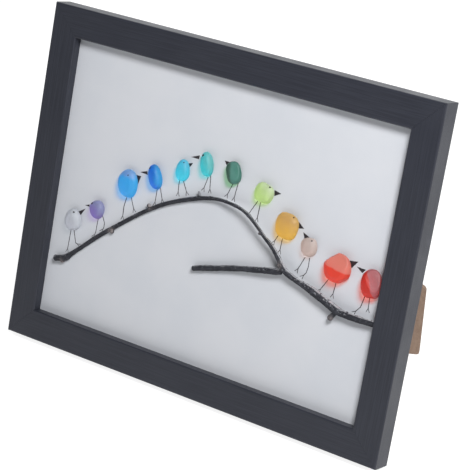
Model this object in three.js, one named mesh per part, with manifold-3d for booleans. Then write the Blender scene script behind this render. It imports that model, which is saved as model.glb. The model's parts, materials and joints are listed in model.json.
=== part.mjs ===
// A picture frame that stands on an easel leg and holds a row of sea glass birds on a twig.
// Millimetres, +Z up, the picture faces -Y and the frame leans back towards +Y on its leg.

import * as THREE from "three";
import { mergeVertices } from "three/addons/utils/BufferGeometryUtils.js";
import Module from "manifold-3d";

const wasm = await Module();
wasm.setup();

// Picture, rails and how the boards sit in them
const BOARD_WIDTH = 240;
const BOARD_HEIGHT = 180;
const ART_BOARD_THICKNESS = 2;
const BACK_BOARD_THICKNESS = 2.4;
const BOARD_EDGE_CLEARANCE = 0.5;
const RAIL_FACE = 18;
const LIP_OVERLAP = 7;
const LIP_DEPTH = 5.9;
const FRAME_DEPTH = 13.4;
const ARRIS_RADIUS = 0.8;
const TOUCH_GAP = 0.3;

// How the frame stands: its lean, and where the leg's hinge sits on the back
const LEAN_DEG = 16.8;
const HINGE_ACROSS = -23;
const HINGE_UP = 141;
const HINGE_TURN_DEG = 45;

// Easel leg
const LEG_OPENING_DEG = 35;
const LEG_THICKNESS = 2.6;
const LEG_TOP_WIDTH = 30;
const LEG_FOOT_WIDTH = 72;
const LEG_CORNER_RADIUS = 2;
const LEG_FOLDED_CLEARANCE = 0.6;

// Steel hinge: two folded brackets on one pin
const SHEET = 0.8;
const HINGE_WIDTH = 24;
const PIN_RADIUS = 1;
const PIN_CLEARANCE = 0.25;
const EAR_WALL = 1.25;
const PIN_OVER_PLATE = 3;
const PIN_HEAD_LIP = 0.7;
const PIN_HEAD_HEIGHT = 0.9;
const BASE_PLATE_ABOVE = 18;
const BASE_PLATE_BELOW = 5;
const BASE_PLATE_CORNER = 2;
const LEG_PLATE_LENGTH = 22;
const LEG_PLATE_CORNER = 1;
const LEG_EAR_LENGTH = 5;
const HEEL_DROP = 0.5;
const HEEL_HEIGHT = 1.4;

// Rivets of the hinge
const RIVET_RADIUS = 1.4;
const RIVET_HEAD_RADIUS = 2.8;
const RIVET_HEAD_HEIGHT = 0.9;
const BASE_RIVET_SPACING = 12;
const BASE_RIVET_UP = 11;
const LEG_RIVET_SPACING = 8;
const LEG_RIVET_DOWN = 9;

// Steel tabs that hold the back board in
const TAB_WIDTH = 8;
const TAB_REACH = 8;
const TAB_BITE = 5;
const TAB_THICKNESS = 0.5;
const TAB_SPREAD = 0.5;

// Sawtooth hanger on the top rail
const HANGER_LENGTH = 42;
const HANGER_HEIGHT = 7;
const HANGER_SHEET = 0.7;
const HANGER_BOW = 1.8;
const HANGER_BEND = 3;
const HANGER_EAR = 8;
const HANGER_TEETH = 5;
const TEETH_MARGIN = 1;
const TOOTH_DEPTH = 1.4;
const NAIL_RADIUS = 0.7;
const NAIL_TIP_RADIUS = 0.3;
const NAIL_TIP_LENGTH = 1.5;
const NAIL_HEAD_RADIUS = 1.8;
const NAIL_HEAD_HEIGHT = 0.7;
const NAIL_LENGTH = 8;

// The picture's height over its width, the size of its sea glass and twig, and their form as shares
const PICTURE_RATIO = 0.7357;
const GLASS_SIZE = 10;
const TWIG_RADIUS = 1.3;
const PEBBLE_UNDERSIDE = 0.3;
const PEBBLE_FLATNESS = 0.62;
const BARK_UNEVENNESS = 0.07;

// Faceting
const ROUND_SIDES = 16;
const PEBBLE_SEGMENTS = 20;
const PEBBLE_ROWS = 8;
const TWIG_SIDES = 8;
const ARCH_STEPS = 64;
const SIDE_BRANCH_STEPS = 20;
const STUB_STEPS = 4;
const WELD_TOLERANCE = 1e-4;

// How far a cutting tool reaches past the face it opens, and how much of an edge a corner may take
const OVERCUT = 1;
const CORNER_SHARE = 0.45;

// Sizes that follow from the ones above
const RAIL_WALL = RAIL_FACE - LIP_OVERLAP;
const OUTER_WIDTH = BOARD_WIDTH + 2 * (BOARD_EDGE_CLEARANCE + RAIL_WALL);
const OUTER_HEIGHT = BOARD_HEIGHT + 2 * (BOARD_EDGE_CLEARANCE + RAIL_WALL);
const OPENING_WIDTH = OUTER_WIDTH - 2 * RAIL_FACE;
const OPENING_HEIGHT = OUTER_HEIGHT - 2 * RAIL_FACE;
const ART_FRONT = -FRAME_DEPTH + LIP_DEPTH + TOUCH_GAP;
const BACK_FRONT = ART_FRONT + ART_BOARD_THICKNESS + TOUCH_GAP;
const BACK_REAR = BACK_FRONT + BACK_BOARD_THICKNESS;
const TAB_FRONT = BACK_REAR + TOUCH_GAP;
const PIN_BEHIND = BACK_REAR + TOUCH_GAP + SHEET + PIN_OVER_PLATE;
const LEAN = THREE.MathUtils.degToRad(LEAN_DEG);
const HINGE_TURN = THREE.MathUtils.degToRad(HINGE_TURN_DEG);
const LEG_OPENING = THREE.MathUtils.degToRad(LEG_OPENING_DEG);

// Finishes
const finish = (color, roughness, metalness = 0) =>
  new THREE.MeshStandardMaterial({ color, roughness, metalness });
const charcoalPaint = finish("#34363d", 0.45);
const offWhiteCard = finish("#d3d5da", 0.85);
const brownHardboard = finish("#a98262", 0.8);
const darkBark = finish("#3b3738", 0.9);
const zincSteel = finish("#b4b6b8", 0.35, 0.9);

// Shares the vertices that meet, while the shape still lies about its own origin
function weld(geometry) {
  geometry.deleteAttribute("normal");
  geometry.deleteAttribute("uv");
  const welded = mergeVertices(geometry, WELD_TOLERANCE);
  welded.computeVertexNormals();
  return welded;
}

// Closed mesh to solid and back, for the joins and cuts
function toSolid(geometry) {
  return new wasm.Manifold(
    new wasm.Mesh({
      numProp: 3,
      vertProperties: Float32Array.from(geometry.attributes.position.array),
      triVerts: Uint32Array.from(geometry.index.array),
    }),
  );
}

function toGeometry(solid) {
  const mesh = solid.getMesh();
  const geometry = new THREE.BufferGeometry();
  geometry.setAttribute("position", new THREE.BufferAttribute(mesh.vertProperties, 3));
  geometry.setIndex(new THREE.BufferAttribute(mesh.triVerts, 1));
  geometry.computeVertexNormals();
  return geometry;
}

function cut(geometry, tools) {
  return toGeometry(tools.reduce((left, tool) => left.subtract(toSolid(tool)), toSolid(geometry)));
}

function join(geometries) {
  return toGeometry(geometries.map(toSolid).reduce((all, next) => all.add(next)));
}

// A box from its two corners
function boxBetween(low, high) {
  const size = high.map((value, axis) => value - low[axis]);
  const middle = high.map((value, axis) => (value + low[axis]) / 2);
  return weld(new THREE.BoxGeometry(...size)).translate(...middle);
}

// An outline whose corners are rounded by one radius
function roundedOutline(corners, radius) {
  const points = corners.map(([x, y]) => new THREE.Vector2(x, y));
  const outline = new THREE.Shape();
  points.forEach((corner, i) => {
    const before = points[(i + points.length - 1) % points.length];
    const after = points[(i + 1) % points.length];
    const shorter = Math.min(corner.distanceTo(before), corner.distanceTo(after));
    const room = Math.min(radius, CORNER_SHARE * shorter);
    const enter = corner.clone().add(before.clone().sub(corner).setLength(room));
    const leave = corner.clone().add(after.clone().sub(corner).setLength(room));
    if (i === 0) outline.moveTo(enter.x, enter.y);
    else outline.lineTo(enter.x, enter.y);
    outline.quadraticCurveTo(corner.x, corner.y, leave.x, leave.y);
  });
  outline.closePath();
  return outline;
}

const polygon = (corners) => new THREE.Shape(corners.map(([x, y]) => new THREE.Vector2(x, y)));

// A flat plate: the outline is drawn in x and z, and it is `thickness` deep from y = front
function plate(outline, thickness, front, curveSegments = 4) {
  const options = { depth: thickness, bevelEnabled: false, curveSegments };
  return weld(new THREE.ExtrudeGeometry(outline, options))
    .rotateX(Math.PI / 2)
    .translate(0, front + thickness, 0);
}

// A plate that stands across the hinge: the outline is drawn in z and y, from x = left
function ear(outline, thickness, left) {
  const options = { depth: thickness, bevelEnabled: false, curveSegments: 6 };
  return weld(new THREE.ExtrudeGeometry(outline, options))
    .rotateY(-Math.PI / 2)
    .translate(left + thickness, 0, 0);
}

// A round rod along y with a radius for each stretch: stops are [y, radius] from front to back
function turned(stops) {
  const profile = [new THREE.Vector2(0, stops[0][0])];
  stops.forEach(([along, radius]) => profile.push(new THREE.Vector2(radius, along)));
  profile.push(new THREE.Vector2(0, stops[stops.length - 1][0]));
  return weld(new THREE.LatheGeometry(profile, ROUND_SIDES));
}

// Stops of a domed head that rises from y = seat; a negative height turns it round
function dome(seat, radius, height) {
  const stops = [0, 1, 2].map((i) => {
    const rise = (i * Math.PI) / 6;
    return [seat + height * Math.sin(rise), radius * Math.cos(rise)];
  });
  return height < 0 ? stops.reverse() : stops;
}

function circleHole(x, z, radius) {
  return new THREE.Path().absarc(x, z, radius, 0, 2 * Math.PI, true);
}

function named(name, geometry, material) {
  const mesh = new THREE.Mesh(geometry, material);
  mesh.name = name;
  return mesh;
}

// The frame stands in this group: x across the picture, y from front to back, z up the picture.
// Its origin is the middle of the bottom back edge, on which the frame rests.
const standing = new THREE.Group();
standing.rotation.x = -LEAN;

// One rail of the frame: its rebated section runs along x, with the outer edge at z = 0.
// Each corner of the section is drawn in at both ends by its own distance from the outer edge,
// which makes the mitres.
function railGeometry(outerLength) {
  const section = new THREE.Shape();
  const r = ARRIS_RADIUS;
  section.moveTo(0, 0);
  section.lineTo(0, -FRAME_DEPTH + r);
  section.absarc(r, -FRAME_DEPTH + r, r, Math.PI, 1.5 * Math.PI, false);
  section.absarc(RAIL_FACE - r, -FRAME_DEPTH + r, r, 1.5 * Math.PI, 2 * Math.PI, false);
  section.lineTo(RAIL_FACE, -FRAME_DEPTH + LIP_DEPTH);
  section.lineTo(RAIL_WALL, -FRAME_DEPTH + LIP_DEPTH);
  section.lineTo(RAIL_WALL, 0);
  section.closePath();
  const options = { depth: 1, bevelEnabled: false, curveSegments: 3 };
  const rail = weld(new THREE.ExtrudeGeometry(section, options));
  const corner = rail.attributes.position;
  const endGap = TOUCH_GAP * Math.SQRT1_2;
  for (let i = 0; i < corner.count; i += 1) {
    const inward = corner.getX(i);
    const end = 1 - 2 * corner.getZ(i);
    corner.setXYZ(i, end * (outerLength / 2 - inward - endGap), corner.getY(i), inward);
  }
  return rail;
}

// Where the tabs are driven in along a rail, counted from its middle
const tabPlaces = (outerLength) => [-1, 1].map((side) => (side * TAB_SPREAD * outerLength) / 2);

function tabSlot(along) {
  const halfWidth = TAB_WIDTH / 2 + TOUCH_GAP;
  return boxBetween(
    [along - halfWidth, TAB_FRONT - TOUCH_GAP, RAIL_WALL - TAB_BITE - TOUCH_GAP],
    [along + halfWidth, TAB_FRONT + TAB_THICKNESS + TOUCH_GAP, RAIL_WALL + OVERCUT],
  );
}

// A tab is pointed where it is driven into the rail
function tabGeometry(along) {
  const half = TAB_WIDTH / 2;
  const shoulder = RAIL_WALL - TAB_BITE / 2;
  const outline = new THREE.Shape();
  outline.moveTo(along, RAIL_WALL - TAB_BITE);
  outline.lineTo(along + half, shoulder);
  outline.lineTo(along + half, RAIL_WALL + TAB_REACH);
  outline.lineTo(along - half, RAIL_WALL + TAB_REACH);
  outline.lineTo(along - half, shoulder);
  outline.closePath();
  return plate(outline, TAB_THICKNESS, TAB_FRONT);
}

// Sawtooth hanger: a steel strip, bowed away from the rail between its two nailed ears
const hangerMiddle = RAIL_WALL / 2;
const nailPlaces = [-1, 1].map((side) => (side * (HANGER_LENGTH - HANGER_EAR)) / 2);

function hangerGeometry() {
  const half = HANGER_LENGTH / 2;
  const bend = half - HANGER_EAR;
  const seat = TOUCH_GAP;
  const crown = TOUCH_GAP + HANGER_BOW;
  const strip = new THREE.Shape();
  const rightHalf = [[half, seat], [bend, seat], [bend - HANGER_BEND, crown]];
  const near = [...rightHalf.map(([x, y]) => [-x, y]), ...rightHalf.reverse()];
  near.forEach(([x, y], i) => (i ? strip.lineTo(x, y) : strip.moveTo(x, y)));
  near.reverse().forEach(([x, y]) => strip.lineTo(x, y + HANGER_SHEET));
  strip.closePath();
  const low = hangerMiddle - HANGER_HEIGHT / 2;
  const edge = hangerMiddle + HANGER_HEIGHT / 2;
  const body = weld(new THREE.ExtrudeGeometry(strip, { depth: HANGER_HEIGHT, bevelEnabled: false }));
  body.translate(0, 0, low);
  const pitch = (2 * (bend - HANGER_BEND - TEETH_MARGIN)) / HANGER_TEETH;
  const slope = pitch / 2 / (TOOTH_DEPTH + OVERCUT);
  const notches = Array.from({ length: HANGER_TEETH }, (_, i) => {
    const x = (i - (HANGER_TEETH - 1) / 2) * pitch;
    const reach = slope * TOOTH_DEPTH;
    const tooth = new THREE.Shape();
    tooth.moveTo(x - reach, edge + OVERCUT);
    tooth.lineTo(x, edge - TOOTH_DEPTH);
    tooth.lineTo(x + reach, edge + OVERCUT);
    tooth.closePath();
    return plate(tooth, crown + HANGER_SHEET + OVERCUT, 0);
  });
  const holes = nailPlaces.map((x) => nailHole(x, crown + OVERCUT));
  return cut(body, [...notches, ...holes]);
}

function nailGeometry(x) {
  const head = TOUCH_GAP + HANGER_SHEET + TOUCH_GAP;
  return turned([
    [head - NAIL_LENGTH, NAIL_TIP_RADIUS],
    [head - NAIL_LENGTH + NAIL_TIP_LENGTH, NAIL_RADIUS],
    [head, NAIL_RADIUS],
    ...dome(head, NAIL_HEAD_RADIUS, NAIL_HEAD_HEIGHT),
  ]).translate(x, 0, hangerMiddle);
}

// Cuts the hole of a nail as far as y = back
function nailHole(x, back) {
  const radius = NAIL_RADIUS + TOUCH_GAP;
  return turned([[-NAIL_LENGTH, radius], [back, radius]]).translate(x, 0, hangerMiddle);
}

// The four rails, each turned to its side, with the tabs that are driven into it
const railSides = [
  { side: "bottom", length: OUTER_WIDTH, turn: 0, at: [0, 0, 0] },
  { side: "top", length: OUTER_WIDTH, turn: Math.PI, at: [0, 0, OUTER_HEIGHT] },
  { side: "left", length: OUTER_HEIGHT, turn: Math.PI / 2, at: [-OUTER_WIDTH / 2, 0, OUTER_HEIGHT / 2] },
  { side: "right", length: OUTER_HEIGHT, turn: -Math.PI / 2, at: [OUTER_WIDTH / 2, 0, OUTER_HEIGHT / 2] },
];
for (const { side, length, turn, at } of railSides) {
  const place = new THREE.Group();
  place.rotation.y = turn;
  place.position.set(...at);
  const holes = tabPlaces(length).map(tabSlot);
  if (side === "top") {
    holes.push(...nailPlaces.map((x) => nailHole(x, OVERCUT)));
    place.add(named("wall_hanger", hangerGeometry(), zincSteel));
    nailPlaces.forEach((x, i) => place.add(named(`hanger_nail_${i + 1}`, nailGeometry(x), zincSteel)));
  }
  place.add(named(`frame_rail_${side}`, cut(railGeometry(length), holes), charcoalPaint));
  tabPlaces(length).forEach((along, i) => {
    place.add(named(`retaining_tab_${side}_${i + 1}`, tabGeometry(along), zincSteel));
  });
  standing.add(place);
}

// The card that carries the picture
const boardLow = RAIL_WALL + BOARD_EDGE_CLEARANCE;
const artBoard = boxBetween(
  [-BOARD_WIDTH / 2, ART_FRONT, boardLow],
  [BOARD_WIDTH / 2, ART_FRONT + ART_BOARD_THICKNESS, boardLow + BOARD_HEIGHT],
);
standing.add(named("art_board", artBoard, offWhiteCard));

// The leg's hinge line runs across the back board at HINGE_TURN.
// In these groups x runs along the hinge, z from the foot to the hinge, and y backwards.
const hingePlace = new THREE.Group();
hingePlace.position.set(HINGE_ACROSS, PIN_BEHIND, HINGE_UP);
hingePlace.rotation.y = -HINGE_TURN;
const legTurn = new THREE.Group();
legTurn.rotation.x = LEG_OPENING;
hingePlace.add(legTurn);
standing.add(hingePlace);

const baseRivetPlaces = [-1, 1].map((side) => [(side * BASE_RIVET_SPACING) / 2, BASE_RIVET_UP]);
const legRivetPlaces = [0, 1].map((i) => [0, -LEG_RIVET_DOWN - i * LEG_RIVET_SPACING]);

// The hardboard back, with the two rivet holes of the hinge
function backBoardGeometry() {
  const half = BOARD_WIDTH / 2;
  const high = boardLow + BOARD_HEIGHT;
  const outline = new THREE.Shape();
  outline.moveTo(-half, boardLow);
  outline.lineTo(half, boardLow);
  outline.lineTo(half, high);
  outline.lineTo(-half, high);
  outline.closePath();
  for (const [along, up] of baseRivetPlaces) {
    const x = HINGE_ACROSS + along * Math.cos(HINGE_TURN) - up * Math.sin(HINGE_TURN);
    const z = HINGE_UP + along * Math.sin(HINGE_TURN) + up * Math.cos(HINGE_TURN);
    outline.holes.push(circleHole(x, z, RIVET_RADIUS + TOUCH_GAP));
  }
  return plate(outline, BACK_BOARD_THICKNESS, BACK_FRONT, ROUND_SIDES / 2);
}
standing.add(named("back_board", backBoardGeometry(), brownHardboard));

// Heights of the hinge parts, counted from the pin
const earRadius = PIN_RADIUS + PIN_CLEARANCE + EAR_WALL;
const earBore = PIN_RADIUS + PIN_CLEARANCE;
const basePlateTop = -PIN_OVER_PLATE;
const legInner = LEG_FOLDED_CLEARANCE - PIN_BEHIND;
const legPlateTop = legInner - TOUCH_GAP;
const legPlateFront = legPlateTop - SHEET;
const legTop = -earRadius - 2 * TOUCH_GAP;
const outerEar = HINGE_WIDTH / 2;
const innerEar = outerEar - SHEET - TOUCH_GAP;

// Bracket on the back board: a plate with two ears that carry the pin
function baseBracketGeometry() {
  const outline = roundedOutline(
    [
      [-outerEar, -BASE_PLATE_BELOW],
      [outerEar, -BASE_PLATE_BELOW],
      [outerEar, BASE_PLATE_ABOVE],
      [-outerEar, BASE_PLATE_ABOVE],
    ],
    BASE_PLATE_CORNER,
  );
  baseRivetPlaces.forEach(([x, z]) => outline.holes.push(circleHole(x, z, RIVET_RADIUS + TOUCH_GAP)));
  const side = new THREE.Shape();
  side.moveTo(-earRadius, basePlateTop - SHEET / 2);
  side.lineTo(earRadius, basePlateTop - SHEET / 2);
  side.lineTo(earRadius, 0);
  side.absarc(0, 0, earRadius, 0, Math.PI, false);
  side.closePath();
  side.holes.push(circleHole(0, 0, earBore));
  return join([
    plate(outline, SHEET, basePlateTop - SHEET),
    ear(side, SHEET, -outerEar),
    ear(side, SHEET, outerEar - SHEET),
  ]);
}

// Bracket on the leg: its ears end in a heel that meets the base plate when the leg is open
function legBracketGeometry() {
  const heelReach =
    (PIN_OVER_PLATE - TOUCH_GAP - HEEL_DROP * Math.cos(LEG_OPENING)) / Math.sin(LEG_OPENING);
  const outline = roundedOutline(
    [
      [-innerEar, legTop - LEG_PLATE_LENGTH],
      [innerEar, legTop - LEG_PLATE_LENGTH],
      [innerEar, legTop],
      [-innerEar, legTop],
    ],
    LEG_PLATE_CORNER,
  );
  legRivetPlaces.forEach(([x, z]) => outline.holes.push(circleHole(x, z, RIVET_RADIUS + TOUCH_GAP)));
  const foot = [[legTop - LEG_EAR_LENGTH, legPlateFront], [0, legPlateFront]];
  const strip = [...foot, [0, legPlateTop], [legTop - LEG_EAR_LENGTH, legPlateTop]];
  const neck = [
    [-earRadius, Math.min(legPlateFront, 0)],
    [0, Math.min(legPlateFront, 0)],
    [0, Math.max(legPlateTop, 0)],
    [-earRadius, Math.max(legPlateTop, 0)],
  ];
  const heel = [
    [0, -earRadius],
    [heelReach, -HEEL_DROP],
    [heelReach, HEEL_HEIGHT - HEEL_DROP],
    [0, earRadius],
  ];
  const ears = [-innerEar, innerEar - SHEET].map((left) => {
    const parts = [strip, neck, heel].map((corners) => ear(polygon(corners), SHEET, left));
    const eye = ear(new THREE.Shape().absarc(0, 0, earRadius, 0, 2 * Math.PI, false), SHEET, left);
    const bore = new THREE.Shape().absarc(0, 0, earBore, 0, 2 * Math.PI, false);
    return cut(join([eye, ...parts]), [ear(bore, SHEET + 2 * OVERCUT, left - OVERCUT)]);
  });
  return join([plate(outline, SHEET, legPlateFront), ...ears]);
}

// The pin is headed over outside both ears
function pinGeometry() {
  const end = outerEar + TOUCH_GAP;
  const headRadius = PIN_RADIUS + PIN_HEAD_LIP;
  return turned([
    ...dome(-end, headRadius, -PIN_HEAD_HEIGHT),
    [-end, PIN_RADIUS],
    [end, PIN_RADIUS],
    ...dome(end, headRadius, PIN_HEAD_HEIGHT),
  ]).rotateZ(Math.PI / 2);
}

// A rivet from its tail at y = tail to the underside of its head at y = seat
function rivetGeometry(tail, seat, headedTail) {
  return turned([
    ...(headedTail ? dome(tail, RIVET_HEAD_RADIUS, -RIVET_HEAD_HEIGHT) : []),
    [tail, RIVET_RADIUS],
    [seat, RIVET_RADIUS],
    ...dome(seat, RIVET_HEAD_RADIUS, RIVET_HEAD_HEIGHT),
  ]);
}

hingePlace.add(named("hinge_bracket_frame", baseBracketGeometry(), zincSteel));
hingePlace.add(named("hinge_pin", pinGeometry(), zincSteel));
legTurn.add(named("hinge_bracket_leg", legBracketGeometry(), zincSteel));
baseRivetPlaces.forEach(([x, z], i) => {
  const rivet = rivetGeometry(BACK_FRONT - PIN_BEHIND, basePlateTop + TOUCH_GAP, false);
  hingePlace.add(named(`frame_rivet_${i + 1}`, rivet.translate(x, 0, z), zincSteel));
});
legRivetPlaces.forEach(([x, z], i) => {
  const rivet = rivetGeometry(legPlateFront - TOUCH_GAP, legInner + LEG_THICKNESS + TOUCH_GAP, true);
  legTurn.add(named(`leg_rivet_${i + 1}`, rivet.translate(x, 0, z), zincSteel));
});

// The leg's foot is a point between two edges. One edge lies on the table when the frame stands
// on its long side, and the other when it stands on its short side. Its length and the slope of
// its edges follow from the lean, the opening and the place of the hinge.
function legGeometry() {
  const rise = Math.cos(LEAN) * Math.cos(LEG_OPENING) * Math.cos(HINGE_TURN)
    + Math.sin(LEAN) * Math.sin(LEG_OPENING);
  const hingeHeight =
    Math.cos(LEAN) * (HINGE_UP + legInner * Math.sin(LEG_OPENING) * Math.cos(HINGE_TURN))
    - Math.sin(LEAN) * (PIN_BEHIND + legInner * Math.cos(LEG_OPENING));
  const reach = hingeHeight / rise;
  const edgeSlope = (Math.cos(LEAN) * Math.sin(HINGE_TURN)) / rise;
  const halfFoot = LEG_FOOT_WIDTH / 2;
  const halfTop = LEG_TOP_WIDTH / 2;
  const corner = -reach + halfFoot * edgeSlope;
  const outline = roundedOutline(
    [[0, -reach], [halfFoot, corner], [halfTop, legTop], [-halfTop, legTop], [-halfFoot, corner]],
    LEG_CORNER_RADIUS,
  );
  legRivetPlaces.forEach(([x, z]) => outline.holes.push(circleHole(x, z, RIVET_RADIUS + TOUCH_GAP)));
  return plate(outline, LEG_THICKNESS, legInner, ROUND_SIDES / 2);
}
legTurn.add(named("easel_leg", legGeometry(), brownHardboard));

// Sea glass. A pebble lies flat on the card: x across, z up, and its crown towards -y.
// `wide`, `tall` and `thick` are shares of the glass size, `square` squares the outline off and
// `egg` widens its foot. Each facet is a flat break: it faces `turn` degrees round from +x, falls
// away from the crown by `slope` degrees and lies `off` out from the middle of the pebble.
function pebbleGeometry({ wide, tall, thick, square = 2.2, egg = 0, bump = 0.02, facets = [] }) {
  const positions = [];
  const index = [];
  const ring = (row) => 1 + (row - 1) * PEBBLE_SEGMENTS;
  const halfWidth = (wide * GLASS_SIZE) / 2;
  const halfHeight = (tall * GLASS_SIZE) / 2;
  const crownHeight = thick * GLASS_SIZE;
  const underside = PEBBLE_UNDERSIDE * crownHeight;
  // The bumps of each pebble start at a place of their own
  const turnBy = 2 * Math.PI;
  positions.push(0, 0, 0);
  for (let row = 1; row < PEBBLE_ROWS; row += 1) {
    const lift = -Math.PI / 2 + (Math.PI * row) / PEBBLE_ROWS;
    const spread = Math.cos(lift) ** PEBBLE_FLATNESS;
    const climb = Math.sin(lift);
    const height = underside + climb * (climb < 0 ? underside : crownHeight - underside);
    for (let i = 0; i < PEBBLE_SEGMENTS; i += 1) {
      const angle = (2 * Math.PI * i) / PEBBLE_SEGMENTS;
      const c = Math.cos(angle);
      const s = Math.sin(angle);
      const round = (Math.abs(c) ** square + Math.abs(s) ** square) ** (-1 / square);
      const uneven = 1 + bump * (Math.sin(2 * angle + turnBy * wide) + Math.sin(3 * angle + turnBy * tall));
      const z = round * uneven * s;
      const x = round * uneven * c * (1 - egg * z);
      positions.push(spread * x * halfWidth, -height, spread * z * halfHeight);
    }
  }
  positions.push(0, -crownHeight, 0);
  const crown = positions.length / 3 - 1;
  for (let i = 0; i < PEBBLE_SEGMENTS; i += 1) {
    const next = (i + 1) % PEBBLE_SEGMENTS;
    index.push(0, ring(1) + next, ring(1) + i);
    for (let row = 1; row < PEBBLE_ROWS - 1; row += 1) {
      const low = ring(row);
      const high = ring(row + 1);
      index.push(low + i, low + next, high + i, low + next, high + next, high + i);
    }
    index.push(ring(PEBBLE_ROWS - 1) + i, ring(PEBBLE_ROWS - 1) + next, crown);
  }
  const pebble = new THREE.BufferGeometry();
  pebble.setAttribute("position", new THREE.Float32BufferAttribute(positions, 3));
  pebble.setIndex(index);
  if (!facets.length) return pebble;
  const block = 8 * Math.max(halfWidth, halfHeight);
  return cut(pebble, facets.map(({ turn, slope, off }) => {
    const round = THREE.MathUtils.degToRad(turn);
    const fall = THREE.MathUtils.degToRad(slope);
    const facing = new THREE.Vector3(
      Math.sin(fall) * Math.cos(round), -Math.cos(fall), Math.sin(fall) * Math.sin(round));
    const tool = weld(new THREE.BoxGeometry(block, block, block));
    tool.translate(0, 0, block / 2 + off * GLASS_SIZE);
    tool.applyQuaternion(new THREE.Quaternion().setFromUnitVectors(new THREE.Vector3(0, 0, 1), facing));
    return tool.translate(0, -crownHeight / 2, 0);
  }));
}

// Places on the picture are shares of its own width and height, counted from the middle of its
// lower edge. The picture is as wide as the opening and lies halfway up it.
const pictureHeight = PICTURE_RATIO * OPENING_WIDTH;
const across = (share) => share * OPENING_WIDTH;
const up = (share) => (OUTER_HEIGHT - pictureHeight) / 2 + share * pictureHeight;

// The birds from left to right. `turn` tips the head to the left, in degrees.
const birds = [
  {
    name: "clear", at: [-0.43, 0.363], turn: 8, wide: 1.12, tall: 1.34, thick: 0.55, egg: 0.08,
    color: "#dfe3e6",
  },
  {
    name: "lilac", at: [-0.359, 0.426], turn: 22, wide: 1.02, tall: 1.1, thick: 0.5, egg: -0.05,
    color: "#8d7dbf",
  },
  { name: "sky_blue", at: [-0.274, 0.551], turn: 6, wide: 1.32, tall: 1.7, thick: 0.6, color: "#4aa3ea" },
  { name: "cobalt", at: [-0.194, 0.602], turn: 24, wide: 0.86, tall: 1.46, thick: 0.55, color: "#2f6fd6" },
  {
    name: "aqua", at: [-0.115, 0.653], turn: 4, wide: 0.9, tall: 1.27, thick: 0.5, egg: 0.1,
    color: "#4cc3df",
  },
  { name: "turquoise", at: [-0.047, 0.697], turn: 15, wide: 0.84, tall: 1.41, thick: 0.5, color: "#56cfd2" },
  {
    name: "bottle_green", at: [0.036, 0.697], turn: 22, wide: 0.9, tall: 1.28, thick: 0.6, square: 2.8,
    facets: [{ turn: 20, slope: 24, off: 0.2 }], color: "#3c8266",
  },
  {
    name: "lime", at: [0.131, 0.66], turn: -10, wide: 1.2, tall: 1.16, thick: 0.5, square: 2.7,
    color: "#c3e184",
  },
  {
    name: "amber", at: [0.212, 0.575], turn: -5, wide: 1.42, tall: 1.5, thick: 0.6, square: 2.8, egg: -0.1,
    color: "#dda54b",
  },
  {
    name: "blush", at: [0.282, 0.53], turn: 12, wide: 1.02, tall: 1.08, thick: 0.45, square: 2.5,
    color: "#cdb9ae",
  },
  {
    name: "coral", at: [0.371, 0.493], turn: 0, wide: 1.72, tall: 1.66, thick: 0.7, bump: 0.01,
    facets: [
      { turn: 130, slope: 74, off: 0.64 },
      { turn: -163, slope: 78, off: 0.72 },
      { turn: -54, slope: 78, off: 0.73 },
      { turn: 80, slope: 22, off: 0.3 },
    ],
    color: "#e1553f",
  },
  {
    name: "red", at: [0.469, 0.477], turn: 8, wide: 1.2, tall: 1.68, thick: 0.7, square: 2.4, bump: 0.02,
    facets: [{ turn: -87, slope: 80, off: 0.74 }, { turn: 33, slope: 28, off: 0.28 }], color: "#cf4648",
  },
];
for (const { name, at, turn, color, ...form } of birds) {
  const pebble = named(`sea_glass_${name}`, pebbleGeometry(form), finish(color, 0.4));
  pebble.position.set(across(at[0]), ART_FRONT - TOUCH_GAP, up(at[1]));
  pebble.rotation.y = -THREE.MathUtils.degToRad(turn);
  standing.add(pebble);
}

// Twig. Stations are [across, up, height over the card, radius], the last two in twig radii.
const onTwig = ([x, z, height]) => [across(x), ART_FRONT - height * TWIG_RADIUS, up(z)];

function limb(stations, steps) {
  const sides = TWIG_SIDES;
  const points = stations.map((station) => new THREE.Vector3(...onTwig(station)));
  const curve = new THREE.CatmullRomCurve3(points, false, "centripetal");
  const frames = curve.computeFrenetFrames(steps, false);
  const positions = [];
  const index = [];
  const addPoint = (point) => positions.push(point.x, point.y, point.z);
  for (let step = 0; step <= steps; step += 1) {
    const t = step / steps;
    const spot = t * (stations.length - 1);
    const before = Math.min(Math.floor(spot), stations.length - 2);
    const radii = THREE.MathUtils.lerp(stations[before][3], stations[before + 1][3], spot - before);
    const radius = radii * TWIG_RADIUS;
    const centre = curve.getPoint(t);
    for (let i = 0; i < sides; i += 1) {
      const angle = (2 * Math.PI * i) / sides;
      const rough = radius * (1 + BARK_UNEVENNESS * Math.sin(5 * step + 3 * i));
      addPoint(centre.clone()
        .addScaledVector(frames.normals[step], rough * Math.cos(angle))
        .addScaledVector(frames.binormals[step], rough * Math.sin(angle)));
    }
  }
  addPoint(curve.getPoint(0));
  addPoint(curve.getPoint(1));
  const first = (steps + 1) * sides;
  for (let i = 0; i < sides; i += 1) {
    const next = (i + 1) % sides;
    index.push(first, next, i);
    for (let step = 0; step < steps; step += 1) {
      const near = step * sides;
      const far = near + sides;
      index.push(near + i, near + next, far + i, near + next, far + next, far + i);
    }
    index.push(first + 1, steps * sides + i, steps * sides + next);
  }
  const tube = new THREE.BufferGeometry();
  tube.setAttribute("position", new THREE.Float32BufferAttribute(positions, 3));
  tube.setIndex(index);
  return tube;
}

function bud(station) {
  const ball = new THREE.SphereGeometry(station[3] * TWIG_RADIUS, TWIG_SIDES, TWIG_SIDES - 2);
  return weld(ball).translate(...onTwig(station));
}

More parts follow.
